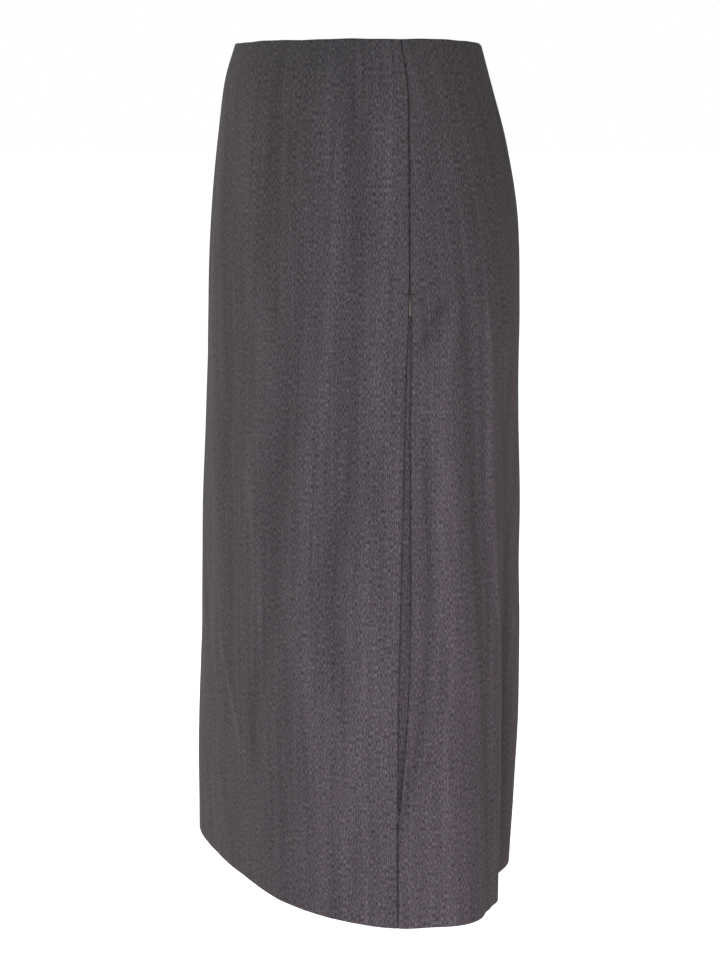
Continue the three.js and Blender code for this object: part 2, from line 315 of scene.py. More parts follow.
def dartAngle(dart, depth):
    run = dart["start"] + dart["drift"] * np.minimum(depth, dart["length"])
    seam = seamAngle(depth)
    return seam + dart["towards"] * degreesForRun(run, seam + dart["scaleAt"], depth)


def softFoldHeight(degrees, depth):
    height = np.zeros(np.shape(degrees))
    for fold in softFolds:
        path = [{"depth": level, "angle": angle} for level, angle in fold["path"]]
        away = angleFrom(degrees, readTable(path, depth, "angle")) * millimetresPerDegree
        begins, ends = path[0]["depth"], path[-1]["depth"]
        fade = smoothStep(depth, begins - foldEnds, begins + foldEnds)
        fade = fade * (1 - smoothStep(depth, ends - foldEnds, ends + foldEnds))
        height = height + fold["size"] * fade * np.exp(-((away / fold["width"]) ** 2))
    return height


def creaseHeight(degrees, depth):
    height = np.zeros(np.shape(degrees))
    for crease in creases:
        (fromDegrees, fromDepth), (toDegrees, toDepth) = crease["from"], crease["to"]
        lineX, lineY = (toDegrees - fromDegrees) * millimetresPerDegree, toDepth - fromDepth
        length = math.hypot(lineX, lineY)
        x = angleFrom(degrees, fromDegrees) * millimetresPerDegree
        y = depth - fromDepth
        along = (x * lineX + y * lineY) / length**2
        across = (x * lineY - y * lineX) / length
        fade = smoothStep(along, *creaseGrows) * (1 - smoothStep(along, *creaseFades))
        height = height + crease["size"] * fade * np.exp(-((across / crease["width"]) ** 2))
    return height


def drapeHeight(degrees, depth):
    return softFoldHeight(degrees, depth) + creaseHeight(degrees, depth)


def dartHeight(degrees, depth):
    height = np.zeros(np.shape(degrees))
    for dart in darts.values():
        line = dartAngle(dart, depth)
        fade = 1 - smoothStep(depth, dart["length"] * dartGroove["fades"], dart["length"])
        for centre in (line, 180 - line):
            away = angleFrom(degrees, centre) * np.linalg.norm(runPerDegree(centre, depth), axis=-1)
            groove = dartGroove["depth"] * fade * np.exp(-((away / dartGroove["width"]) ** 2))
            below = (depth - dart["length"]) / dartTip["halfLength"]
            tip = dartTip["depth"] * np.exp(-((away / dartTip["halfWidth"]) ** 2) - below**2)
            height = height - groove - tip
    return height


def detailHeight(degrees, depth):
    wave = np.zeros(np.shape(degrees))
    for ripple in unevenness:
        turn = np.radians(degrees) * ripple["around"] + depth * 2 * np.pi / ripple["down"] + ripple["phase"]
        wave = wave + ripple["size"] * np.sin(turn)
    wave = wave * (wavesAtWaist + (1 - wavesAtWaist) * smoothStep(depth, 0, wavesFullDepth))
    return wave + drapeHeight(degrees, depth) + dartHeight(degrees, depth)


def clothPoint(degrees, depth, inset):
    degrees, depth = np.broadcast_arrays(np.asarray(degrees, float), np.asarray(depth, float))
    run = runPerDegree(degrees, depth)
    outward = np.stack([run[..., 1], -run[..., 0]], -1)
    outward = outward / np.linalg.norm(outward, axis=-1, keepdims=True)
    point = outerPoint(degrees, depth)
    point[..., :2] += outward * (detailHeight(degrees, depth) - inset)[..., None]
    return point


def waistWave(degrees, depth):
    turn = np.radians(degrees)
    fade = 1 - smoothStep(depth, 0, waistRipplesEnd)
    return fade * sum(wave["size"] * np.sin(turn * wave["around"] + wave["phase"]) for wave in waistRipples)


def wallThickness(depth):
    run = skirt["thicknessRun"]
    hemTop = skirt["length"] - skirt["hemHeight"]
    topShare = 1 - smoothStep(depth, skirt["topHeight"], skirt["topHeight"] + run)
    hemShare = smoothStep(depth, hemTop - run, hemTop)
    return (
        skirt["cloth"]
        + (skirt["topThickness"] - skirt["cloth"]) * topShare
        + (skirt["hemThickness"] - skirt["cloth"]) * hemShare
    )


# Mesh making
def addObject(name, points, faces, material):
    mesh = bpy.data.meshes.new(name)
    mesh.from_pydata((points * millimetre).tolist(), [], faces)
    mesh.polygons.foreach_set("use_smooth", [True] * len(mesh.polygons))
    mesh.materials.append(material)
    mesh.update()
    piece = bpy.data.objects.new(name, mesh)
    bpy.context.scene.collection.objects.link(piece)
    return piece


def quads(first, rows, columns, flipped=False):
    index = first + np.arange(rows * columns).reshape(rows, columns)
    corners = [index[:-1, :-1], index[1:, :-1], index[1:, 1:], index[:-1, 1:]]
    if flipped:
        corners.reverse()
    return np.stack([corner.ravel() for corner in corners], -1)


def rim(outer, inner):
    return np.stack([outer[:-1], inner[:-1], inner[1:], outer[1:]], -1)


def shellFaces(rows, columns):
    outer = np.arange(rows * columns).reshape(rows, columns)
    inner = outer + rows * columns
    return np.concatenate([
        quads(0, rows, columns),
        quads(rows * columns, rows, columns, flipped=True),
        rim(outer[:, 0], inner[:, 0]),
        rim(outer[::-1, -1], inner[::-1, -1]),
        rim(outer[0, ::-1], inner[0, ::-1]),
        rim(outer[-1], inner[-1]),
    ])


def addClothRun(piece, across, down, paintedTone):
    # for the materials: the place on the flat cloth, and the painted highlight and shade, from how far a fold
    # lifts it
    run = piece.data.attributes.new("clothRun", "FLOAT_VECTOR", "POINT")
    values = np.stack([across, down, np.zeros_like(down)], -1) * millimetre
    run.data.foreach_set("vector", values.astype(np.float32).ravel())
    lift = piece.data.attributes.new("paintedHighlightAndShade", "FLOAT", "POINT")
    lift.data.foreach_set("value", paintedTone.astype(np.float32))


# A cloth edge is a half round: how far in from the edge its rings lie, and how far out they reach
edgeTurns = np.radians([14, 38, 64, 90])


def edgeOffsets(thickness):
    return (1 - np.cos(edgeTurns)) * thickness / 2


def edgeShare(distance, thickness):
    away = np.clip(1 - distance / (thickness / 2), 0, 1)
    return np.sqrt(1 - away**2)


def clothShell(name, depths, degrees, outerInset, thickness, material,
               centre=0, followsSeam=0, rolled=(0, 0), shade=0):
    # depths and degrees are grids of rows by columns; centre is the angle that the grain runs down,
    # rolled is how far the first and last edges are pressed in at their seams, and shade is how
    # much painted shade darkens the cloth where it lies in a hollow
    rows, columns = degrees.shape
    runs = np.linalg.norm(np.diff(outerPoint(degrees, depths)[..., :2], axis=1), axis=-1)
    across = np.concatenate([np.zeros((rows, 1)), np.cumsum(runs, axis=1)], axis=1)
    share = edgeShare(across, skirt["cloth"]) * edgeShare(across[:, -1:] - across, skirt["cloth"])
    share = share * edgeShare(depths - depths[0, 0], thickness) * edgeShare(depths[-1, 0] - depths, thickness)
    half = thickness / 2
    pressed = np.zeros(degrees.shape)
    for distance, depth in zip((across, across[:, -1:] - across), rolled):
        pressed = pressed + depth * np.exp(-((distance / skirt["rollWidth"]) ** 2))
    outerInset = outerInset + pressed
    outer = clothPoint(degrees, depths, outerInset + half * (1 - share))
    inner = clothPoint(degrees, depths, outerInset + half * (1 + share))
    wave = waistWave(degrees, depths)
    outer[..., 2] += wave
    inner[..., 2] += wave
    points = np.concatenate([outer.reshape(-1, 3), inner.reshape(-1, 3)])
    piece = addObject(name, points, shellFaces(rows, columns).tolist(), material)
    start = np.array([np.interp(centre, row, line) for row, line in zip(degrees, across)])[:, None]
    widest = across[:, -1].max()
    run = (across - start) * (1 - followsSeam + followsSeam * widest / across[:, -1:])
    # painted highlight on fold crests and painted shade in fold hollows, from the folds' lift
    lift = np.tanh(drapeHeight(degrees, depths) / drapeLimit) * drapeLimit
    # painted shade at pressed seam edges, and the strip's own painted shade
    paintedShade = pressed * skirt["rollShade"] + shade
    paintedTone = np.concatenate([(lift - paintedShade).ravel(), (-lift - paintedShade).ravel()])
    addClothRun(piece, np.tile(run.ravel(), 2), np.tile(depths.ravel(), 2), paintedTone)
    return piece


def rowsThrough(stops):
    rows = [stops[0]]
    for last, stop in zip(stops, stops[1:]):
        steps = max(1, math.ceil((stop - last) / skirt["meshStep"]))
        rows.extend(np.linspace(last, stop, steps + 1)[1:])
    return np.array(rows)


def panelDepths():
    top = edgeOffsets(skirt["topThickness"])
    foot = skirt["length"] - edgeOffsets(skirt["hemThickness"])[::-1]
    turned = [skirt["topHeight"], skirt["topHeight"] + skirt["thicknessRun"]]
    hemTop = skirt["length"] - skirt["hemHeight"]
    hem = [hemTop - skirt["thicknessRun"], hemTop]
    return rowsThrough([*top, *turned, slit[0]["depth"], slit[-1]["depth"], *hem, *foot])


def columnsThrough(lines, depths):
    # lines are angles down the panel, each with the distances of the extra columns beside it
    stops = []
    for angles, offsets in lines:
        perDegree = np.linalg.norm(runPerDegree(angles, depths), axis=-1)
        stops.extend(angles + offset / perDegree for offset in offsets)
    columns = [stops[0]]
    for last, stop in zip(stops, stops[1:]):
        width = np.max((stop - last) * np.linalg.norm(runPerDegree((stop + last) / 2, depths), axis=-1))
        steps = max(1, math.ceil(width / skirt["meshStep"]))
        columns.extend(last + (stop - last) * part for part in np.linspace(0, 1, steps + 1)[1:])
    return np.stack(columns, 1)


# Extra columns of the mesh, in millimetres from an edge and from a dart
edgeColumns = [*edgeOffsets(skirt["cloth"]), 1.35, 2.3]
dartColumns = [-1.7, -0.9, -0.45, 0, 0.45, 0.9, 1.7]


def startEdge(angles):
    return (angles, edgeColumns)


def endEdge(angles):
    return (angles, [-offset for offset in reversed(edgeColumns)])


def frontDegrees(depths):
    seam = seamAngle(depths)
    edge = seam - degreesForRun(skirt["seamGap"] / 2, seam, depths)
    dart = dartAngle(darts["front"], depths)
    lines = [startEdge(-180 - edge), (-180 - dart, dartColumns), (dart, dartColumns), endEdge(edge)]
    return columnsThrough(lines, depths)


def backLeftDegrees(depths):
    seam = seamAngle(depths)
    slitGap = np.maximum(readTable(slit, depths, "gap"), 0)
    zipGap = np.maximum(readTable(zipParting, depths, "gap"), 0)
    start = seam + degreesForRun(skirt["seamGap"] / 2 + slitGap, seam, depths)
    end = 90 - degreesForRun((skirt["seamGap"] + zipGap) / 2, np.full_like(depths, 90), depths)
    dart = dartAngle(darts["back"], depths)
    return columnsThrough([startEdge(start), (dart, dartColumns), endEdge(end)], depths)


def backRightDegrees(depths):
    return 180 - backLeftDegrees(depths)[:, ::-1]


# Materials
def addNode(tree, kind, values=None, **settings):
    made = tree.nodes.new(kind)
    for name, value in settings.items():
        setattr(made, name, value)
    for name, value in (values or {}).items():
        made.inputs[name].default_value = value
    return made


def mathNode(tree, operation, first, second=None, third=None):
    made = addNode(tree, "ShaderNodeMath", operation=operation)
    for socket, value in zip(made.inputs, (first, second, third)):
        if isinstance(value, (int, float)):
            socket.default_value = value
        elif value is not None:
            tree.links.new(value, socket)
    return made.outputs[0]


def stretched(tree, vector, sizes):
    made = addNode(tree, "ShaderNodeVectorMath", operation="MULTIPLY")
    tree.links.new(vector, made.inputs[0])
    made.inputs[1].default_value = [1 / (size * millimetre) for size in sizes]
    return made.outputs[0]


def noise(tree, vector, sizes, detail=2, roughness=0.5):
    made = addNode(tree, "ShaderNodeTexNoise", {"Scale": 1, "Detail": detail, "Roughness": roughness})
    tree.links.new(stretched(tree, vector, sizes), made.inputs["Vector"])
    return made.outputs["Fac"]


def newGroup(name, inputs, outputs):
    group = bpy.data.node_groups.new(name, "ShaderNodeTree")
    for title, kind, value in inputs:
        socket = group.interface.new_socket(name=title, in_out="INPUT", socket_type=kind)
        if value is not None:
            socket.default_value = value
    for title, kind in outputs:
        group.interface.new_socket(name=title, in_out="OUTPUT", socket_type=kind)
    return group, addNode(group, "NodeGroupInput"), addNode(group, "NodeGroupOutput")


# The weave's marks, each with its size across and down the cloth in millimetres
weave = {
    "yarn": (1.3, 60, 1),
    "fleck": (0.9, 3.1, 1),
    "band": (7, 150, 1),
    "warmth": (1.6, 9, 1),
    "wobble": (3, 14, 1),
    "wobbleTurn": 5,
    "twillSlope": 0.55,
    "twillHeight": 0.35,
}


def makeTwillGroup():
    # melange yarns and a fine twill, read along the cloth: X round the panel and Y down it
    group, given, made = newGroup(
        "melangeTwill",
        [
            ("Run", "NodeSocketVector", None),
            ("Yarn Streaks", "NodeSocketFloat", 0.5),
            ("Fleck", "NodeSocketFloat", 0.5),
            ("Bands", "NodeSocketFloat", 0.3),
            ("Twill", "NodeSocketFloat", 0.2),
            ("Twill Pitch mm", "NodeSocketFloat", 1.2),
        ],
        [("Tone", "NodeSocketFloat"), ("Warmth", "NodeSocketFloat"), ("Height", "NodeSocketFloat")],
    )
    run = given.outputs["Run"]
    marks = {
        "Yarn Streaks": noise(group, run, weave["yarn"], 2),
        "Fleck": noise(group, run, weave["fleck"], 1),
        "Bands": noise(group, run, weave["band"], 2),
    }
    split = addNode(group, "ShaderNodeSeparateXYZ")
    group.links.new(run, split.inputs[0])
    slope = mathNode(group, "MULTIPLY_ADD", split.outputs["Y"], weave["twillSlope"], split.outputs["X"])
    perPitch = mathNode(group, "DIVIDE", 2 * math.pi / millimetre, given.outputs["Twill Pitch mm"])
    wobble = mathNode(group, "MULTIPLY", noise(group, run, weave["wobble"], 1), weave["wobbleTurn"])
    phase = mathNode(group, "MULTIPLY_ADD", slope, perPitch, wobble)
    twill = mathNode(group, "SINE", phase)
    tone = 0.5
    for name, mark in marks.items():
        centred = mathNode(group, "SUBTRACT", mark, 0.5)
        tone = mathNode(group, "MULTIPLY_ADD", centred, given.outputs[name], tone)
    halfTwill = mathNode(group, "MULTIPLY", twill, 0.5)
    tone = mathNode(group, "MULTIPLY_ADD", halfTwill, given.outputs["Twill"], tone)
    height = mathNode(group, "MULTIPLY_ADD", twill, weave["twillHeight"], marks["Fleck"])
    group.links.new(tone, made.inputs["Tone"])
    group.links.new(noise(group, run, weave["warmth"], 2), made.inputs["Warmth"])
    group.links.new(height, made.inputs["Height"])
    return group


twillGroup = makeTwillGroup()


def newMaterial(name, surface):
    material = bpy.data.materials.new(name)
    material.use_nodes = True
    tree = material.node_tree
    shader = tree.nodes["Principled BSDF"]
    for socket, value in surface.items():
        shader.inputs[socket].default_value = value
    return material, tree, shader


def linear(red, green, blue):
    # sRGB 0 to 255, as read off a screen, to Blender's linear colour
    values = [channel / 255 for channel in (red, green, blue)]
    return [v / 12.92 if v <= 0.04045 else ((v + 0.055) / 1.055) ** 2.4 for v in values] + [1]


def toneRamp(tree, tone, colours):
    ramp = addNode(tree, "ShaderNodeValToRGB")
    elements = ramp.color_ramp.elements
    while len(elements) < len(colours):
        elements.new(0.5)
    for index, colour in enumerate(colours):
        elements[index].position = index / (len(colours) - 1)
        elements[index].color = linear(*colour)
    tree.links.new(tone, ramp.inputs["Fac"])
    return ramp.outputs["Color"]


def addBump(tree, shader, height, strength, distance):
    bump = addNode(tree, "ShaderNodeBump", {"Strength": strength, "Distance": distance})
    tree.links.new(height, bump.inputs["Height"])
    tree.links.new(bump.outputs["Normal"], shader.inputs["Normal"])


def multiplied(tree, first, second):
    made = addNode(tree, "ShaderNodeMix", data_type="RGBA", blend_type="MULTIPLY")
    made.inputs[0].default_value = 1
    tree.links.new(first, made.inputs[6])
    tree.links.new(second, made.inputs[7])
    return made.outputs[2]


worsted = {
    "shadow": (54, 50.5, 55),
    "middle": (96, 90, 96),
    "light": (137, 129, 137),
    "cool": (238, 251, 255),
    "warm": (255, 245, 238),
    "yarnStreaks": 0.36,
    "fleck": 1.7,
    "bands": 0.35,
    "twill": 0.14,
    "twillPitch": 1.3,
    "roughness": 0.9,
    "specular": 0.12,
    "sheen": 0.16,
    "sheenRoughness": 0.4,
    "sheenTint": (205, 196, 206),
    "bump": 0.35,
    "bumpDistance": 0.0003,
    "fullLight": 0.86,  # painted light of flat cloth, which leaves room for the painted highlights on the crests
    "crestLight": 0.11,  # painted highlight: how much lighter the cloth is painted for each millimetre that a fold lifts it, and as much darker where it sinks
}


def makeWorsted():
    material, tree, shader = newMaterial("charcoalWorsted", {
        "Roughness": worsted["roughness"],
        "Specular IOR Level": worsted["specular"],
        "Sheen Weight": worsted["sheen"],
        "Sheen Roughness": worsted["sheenRoughness"],
        "Sheen Tint": linear(*worsted["sheenTint"]),
    })
    run = addNode(tree, "ShaderNodeAttribute", attribute_name="clothRun")
    twill = addNode(tree, "ShaderNodeGroup", node_tree=twillGroup)
    for socket, key in (("Yarn Streaks", "yarnStreaks"), ("Fleck", "fleck"), ("Bands", "bands"),
                        ("Twill", "twill"), ("Twill Pitch mm", "twillPitch")):
        twill.inputs[socket].default_value = worsted[key]
    tree.links.new(run.outputs["Vector"], twill.inputs["Run"])
    colours = [worsted["shadow"], worsted["middle"], worsted["light"]]
    cloth = toneRamp(tree, twill.outputs["Tone"], colours)
    tint = toneRamp(tree, twill.outputs["Warmth"], [worsted["cool"], worsted["warm"]])
    # painted highlight and painted shade: the cloth's colour is scaled by the fold lift, less the painted
    # shade at seam edges and in the slits
    lift = addNode(tree, "ShaderNodeAttribute", attribute_name="paintedHighlightAndShade").outputs["Fac"]
    light = mathNode(tree, "MULTIPLY_ADD", lift, worsted["crestLight"], worsted["fullLight"])
    lit = multiplied(tree, multiplied(tree, cloth, tint), light)
    tree.links.new(lit, shader.inputs["Base Color"])
    addBump(tree, shader, twill.outputs["Height"], worsted["bump"], worsted["bumpDistance"])
    return material


liningCloth = {
    "shadow": (120, 113, 104),
    "light": (176, 168, 158),
    "ribs": (0.28, 2.4, 1),
    "roughness": 0.42,
    "bump": 0.2,
    "sheen": 0.15,
}
tapeCloth = {
    "shadow": (38, 37, 41),
    "light": (70, 68, 74),
    "ribs": (2.5, 0.32, 1),
    "roughness": 0.7,
    "bump": 0.4,
    "sheen": 0.15,
}
fineBump = {"rib": 0.0002, "thread": 0.0001}  # depths in metres


def makeRibbedCloth(name, look):
    # fine ribs across or along the strip
    surface = {"Roughness": look["roughness"], "Sheen Weight": look["sheen"]}
    material, tree, shader = newMaterial(name, surface)
    run = addNode(tree, "ShaderNodeAttribute", attribute_name="clothRun")
    ribs = noise(tree, run.outputs["Vector"], look["ribs"], 2)
    colour = toneRamp(tree, ribs, [look["shadow"], look["light"]])
    tree.links.new(colour, shader.inputs["Base Color"])
    addBump(tree, shader, ribs, look["bump"], fineBump["rib"])
    return material


threadLook = {"shadow": (42, 39, 42), "light": (88, 83, 87), "twist": 0.35, "roughness": 0.6, "bump": 0.25}
coilLook = {"shadow": (30, 30, 33), "light": (58, 57, 61), "twist": 0.6, "roughness": 0.38, "bump": 0.25}


def makeFinePlainMaterial(name, look):
    material, tree, shader = newMaterial(name, {"Roughness": look["roughness"]})
    place = addNode(tree, "ShaderNodeTexCoord")
    grain = noise(tree, place.outputs["Object"], [look["twist"]] * 3, 2)
    tree.links.new(toneRamp(tree, grain, [look["shadow"], look["light"]]), shader.inputs["Base Color"])
    addBump(tree, shader, grain, look["bump"], fineBump["thread"])
    return material


enamelLook = {
    "enamel": (62, 60, 65),
    "metal": (150, 148, 145),
    "metallic": 0.35,
    "coat": 0.25,
    "coatRoughness": 0.2,
    "scuffs": (0.5, 0.5, 2.5),
    "scuffsFrom": 0.64,
    "scuffsTo": 0.72,
    "roughness": 0.28,
    "scuffRoughness": 0.3,
    "orangePeel": (0.18, 0.18, 0.18),
    "bump": 0.15,
}


def makeZipEnamel():
    # satin enamel, thin and bright in small scuffs
    look = enamelLook
    material, tree, shader = newMaterial("zipEnamel", {
        "Metallic": look["metallic"],
        "Coat Weight": look["coat"],
        "Coat Roughness": look["coatRoughness"],
    })
    place = addNode(tree, "ShaderNodeTexCoord").outputs["Object"]
    scuffs = noise(tree, place, look["scuffs"], 4, 0.65)
    worn = addNode(tree, "ShaderNodeMapRange", {"From Min": look["scuffsFrom"], "From Max": look["scuffsTo"]})
    tree.links.new(scuffs, worn.inputs["Value"])
    colour = toneRamp(tree, worn.outputs["Result"], [look["enamel"], look["metal"]])
    tree.links.new(colour, shader.inputs["Base Color"])
    roughness = mathNode(tree, "MULTIPLY_ADD", scuffs, look["scuffRoughness"], look["roughness"])
    tree.links.new(roughness, shader.inputs["Roughness"])
    addBump(tree, shader, noise(tree, place, look["orangePeel"], 1), look["bump"], fineBump["thread"])
    return material


clothMaterial = makeWorsted()
liningMaterial = makeRibbedCloth("paleLining", liningCloth)
tapeMaterial = makeRibbedCloth("zipTape", tapeCloth)
threadMaterial = makeFinePlainMaterial("darkThread", threadLook)
coilMaterial = makeFinePlainMaterial("zipCoil", coilLook)
enamelMaterial = makeZipEnamel()
print("materials made")


# The three panels
def wearOnSkirt(piece, slot, *nodes):
    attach(piece, "skirt")
    if nodes:
        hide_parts(*nodes)


panels = {
    "front_panel": {
        "node": "front", "degrees": frontDegrees, "centre": -90, "followsSeam": 0.85, "rolled": (0.8, 0.8),
    },
    "back_left_panel": {
        "node": "back_left", "degrees": backLeftDegrees, "centre": 90, "followsSeam": 0.6,
        "rolled": (0.8, 0.25),
    },
    "back_right_panel": {
        "node": "back_right", "degrees": backRightDegrees, "centre": 90, "followsSeam": 0.6,
        "rolled": (0.25, 0.8),
    },
}


def grid(rows, degrees):
    return np.repeat(rows[:, None], degrees.shape[1], 1)


def makePanels():
    rows = panelDepths()
    for name, panel in panels.items():
        degrees = panel["degrees"](rows)
        depths = grid(rows, degrees)
        piece = clothShell(name, depths, degrees, 0, wallThickness(depths), clothMaterial,
                           panel["centre"], panel["followsSeam"], panel["rolled"])
        wearOnSkirt(piece, "cloth", panel["node"])
        panel["cloth"] = (piece, depths, degrees)
        print(name, len(piece.data.polygons), "faces")


makePanels()


# Strips that lie inside the seams: the underlay and the lining behind each slit, the pressed-open
# seam allowances and the zip tapes. Each reaches some millimetres to both sides of its seam.
def stripDegrees(rows, seam, before, after):
    start = seam + degreesForRun(before, seam, rows)
    end = seam + degreesForRun(after, seam, rows)
    return columnsThrough([startEdge(start), endEdge(end)], rows)


def sided(degrees, side):
    return degrees if side == "left" else 180 - degrees[:, ::-1]


slitStrips = {
    "slit_underlay": {
        "top": 213, "bottom": 608, "ahead": 31, "behind": 15, "inset": 2.6, "thickness": 1.5,
        "shade": 1.2, "footShade": 2.6, "turning": 5,
    },
    "slit_lining": {
        "top": 189, "bottom": 628, "ahead": 47, "behind": 22, "inset": 4.3, "thickness": 1,
        "shade": 0, "footShade": 0, "turning": 8,
    },
}
footShadeRun = 70  # how far up from its foot a strip is painted in deeper shade
sideAllowances = {
    "upper": {"top": 9.5, "bottom": 187},
    "lower": {"top": 630, "bottom": 657},
}
allowance = {"reach": 13, "inset": 1.9, "thickness": 0.55, "backTop": 206, "backBottom": 657}


def makeSlitStrips():
    for side in ("left", "right"):
        for name, strip in slitStrips.items():
            rows = rowsThrough([strip["top"], strip["bottom"]])
            slitGap = np.maximum(readTable(slit, rows, "gap"), 0)
            behind = strip["behind"] + slitGap
            degrees = sided(stripDegrees(rows, seamAngle(rows), -strip["ahead"], behind), side)
            thickness = np.full(degrees.shape, strip["thickness"])
            isLining = name == "slit_lining"
            depths = grid(rows, degrees)
            # painted shade: the strip is painted darker inside the slit, and darker still near its foot
            foot = smoothStep(depths, strip["bottom"] - footShadeRun, strip["bottom"])
            shade = strip["shade"] + strip["footShade"] * foot
            piece = clothShell(name + "_" + side + "_cloth", depths, degrees, strip["inset"],
                               thickness, liningMaterial if isLining else clothMaterial, shade=shade)
            wearOnSkirt(piece, "lining" if isLining else "cloth", name + "_" + side)


def makeAllowance(name, rows, degrees):
    thickness = np.full(degrees.shape, allowance["thickness"])
    piece = clothShell(name, grid(rows, degrees), degrees, allowance["inset"], thickness, clothMaterial)
    wearOnSkirt(piece, "cloth")


def makeAllowances():
    reach = allowance["reach"]
    for side in ("left", "right"):
        for part, span in sideAllowances.items():
            rows = rowsThrough([span["top"], span["bottom"]])
            degrees = sided(stripDegrees(rows, seamAngle(rows), -reach, reach), side)
            makeAllowance("side_seam_allowance_" + part + "_" + side, rows, degrees)
    rows = rowsThrough([allowance["backTop"], allowance["backBottom"]])
    makeAllowance("back_seam_allowance", rows, stripDegrees(rows, np.full_like(rows, 90), -reach, reach))


makeSlitStrips()
makeAllowances()
print("strips and allowances made")


# Thread and other thin round things: closed tubes along points that lie on the cloth
def clothFrame(angle, depth, aside=0, inset=0):
    # points beside a line of the cloth and the cloth's outward direction there
    angle, depth, aside, inset = (np.asarray(value, float) for value in (angle, depth, aside, inset))
    angle, depth, aside, inset = np.broadcast_arrays(angle, depth, aside, inset)
    degrees = angle + degreesForRun(aside, angle, depth)
    run = runPerDegree(degrees, depth)
    outward = np.stack([run[..., 1], -run[..., 0], np.zeros(run.shape[:-1])], -1)
    outward = outward / np.linalg.norm(outward, axis=-1, keepdims=True)
    points = clothPoint(degrees, depth, inset)
    points[..., 2] += waistWave(degrees, depth)
    return points, outward


def tube(points, outward, radius, sides=6):
    points = np.asarray(points, float)
    ahead = np.gradient(points, axis=0)
    ahead = ahead / np.linalg.norm(ahead, axis=1, keepdims=True)
    beside = np.cross(ahead, outward)
    beside = beside / np.linalg.norm(beside, axis=1, keepdims=True)
    above = np.cross(beside, ahead)
    turns = np.arange(sides) * 2 * np.pi / sides
    ring = beside[:, None] * np.cos(turns)[None, :, None] + above[:, None] * np.sin(turns)[None, :, None]
    vertices = (points[:, None] + ring * radius).reshape(-1, 3)
    index = np.arange(len(points) * sides).reshape(-1, sides)
    after = np.roll(index, -1, axis=1)
    faces = np.stack([index[:-1], index[1:], after[1:], after[:-1]], -1).reshape(-1, 4).tolist()
    faces += [index[0].tolist(), index[-1][::-1].tolist()]
    return vertices, faces


def joinTubes(name, tubes, material):
    vertices, faces, first = [], [], 0
    for points, loops in tubes:
        vertices.append(points)
        faces.extend([[corner + first for corner in loop] for loop in loops])
        first += len(points)
    wearOnSkirt(addObject(name, np.concatenate(vertices), faces, material), "cloth")


barTack = {
    "halfWidth": 4.7,
    "sag": 0.9,
    "coreRadius": 0.24,
    "coreOffsets": (-0.3, 0.3),
    "wraps": 17,
    "wrapsReach": 0.97,
    "wrapClear": 0.12,
    "wrapDrop": 0.35,
    "wrapHalfHeight": 0.44,
    "wrapRadius": 0.17,
    "lift": 0.2,
    "slant": 0.25,
}
tackDepths = {"upper": 195.5, "lower": 617.5}


def barTackTubes(angle, depth):
    # two core threads along the bar, with satin stitches over them
    tubes = []
    along = np.linspace(-1, 1, 11)
    sag = barTack["sag"] * (1 - along**2)
    reach = along * barTack["halfWidth"]
    for offset in barTack["coreOffsets"]:
        points, outward = clothFrame(angle, depth + sag + offset, reach, -barTack["lift"])
        tubes.append(tube(points, outward, barTack["coreRadius"]))
    over = np.linspace(-1, 1, 5)
    place = np.linspace(-barTack["wrapsReach"], barTack["wrapsReach"], barTack["wraps"])[:, None]
    middle = depth + barTack["sag"] * (1 - place**2)
    hoop = (barTack["coreRadius"] + barTack["wrapClear"]) * (1 - over**2) ** 0.5
    height = barTack["lift"] + hoop - barTack["wrapDrop"] * np.abs(over)
    aside = place * barTack["halfWidth"] + over * barTack["slant"]
    points, outward = clothFrame(angle, middle + over * barTack["wrapHalfHeight"], aside, -height)
    tubes += [tube(line, normals, barTack["wrapRadius"], 5) for line, normals in zip(points, outward)]
    return tubes


def makeBarTacks():
    for side in ("left", "right"):
        for place, depth in tackDepths.items():
            seam = float(seamAngle(depth))
            angle = seam if side == "left" else 180 - seam
            joinTubes("bar_tack_" + place + "_" + side, barTackTubes(angle, depth), threadMaterial)


stitchArch = 0.18  # how far a stitch's middle stands up


def runningStitches(angle, depths, asides, inset, length, radius, slant=0.0):
    # short stitches, one at each place, along the depth or across it
    steps = np.linspace(-0.5, 0.5, 5)
    arch = stitchArch * (1 - (2 * steps) ** 2)
    places, depths, asides = (values[:, None] for values in np.broadcast_arrays(angle, depths, asides))
    down = steps * math.cos(slant) * length
    across = steps * math.sin(slant) * length
    points, outward = clothFrame(places, depths + down, asides + across, inset + arch)
    return [tube(line, normals, radius, 5) for line, normals in zip(points, outward)]


hemStitch = {"every": 7.5, "length": 3, "depth": 660.5, "inset": 2.6, "radius": 0.14, "slant": 0.9}
topStitch = {"every": 3.4, "length": 2.3, "depth": 5, "inset": 2.35, "radius": 0.14, "clearOfZip": 3}


def anglesEvery(run, depth):
    # angles all round the skirt, a run of cloth apart
    degrees = np.linspace(-90, 270, 1441)
    steps = np.linalg.norm(np.diff(outerPoint(degrees, depth)[:, :2], axis=0), axis=1)
    gone = np.concatenate([[0], np.cumsum(steps)])
    return np.interp(np.arange(0, gone[-1] - run / 2, run), gone, degrees)


def makeHemAndTopStitches():
    around = anglesEvery(hemStitch["every"], hemStitch["depth"])
    stitches = runningStitches(around, hemStitch["depth"], 0, hemStitch["inset"], hemStitch["length"],
                               hemStitch["radius"], hemStitch["slant"])
    joinTubes("hem_blind_stitches", stitches, threadMaterial)
    around = anglesEvery(topStitch["every"], topStitch["depth"])
    around = around[np.abs(angleFrom(around, 90)) > topStitch["clearOfZip"]]
    stitches = runningStitches(around, topStitch["depth"], 0, topStitch["inset"], topStitch["length"],
                               topStitch["radius"], math.pi / 2)
    joinTubes("waist_understitching", stitches, threadMaterial)


overlock = {"pitch": 2.4, "width": 2.2, "radius": 0.13, "clear": 0.1}


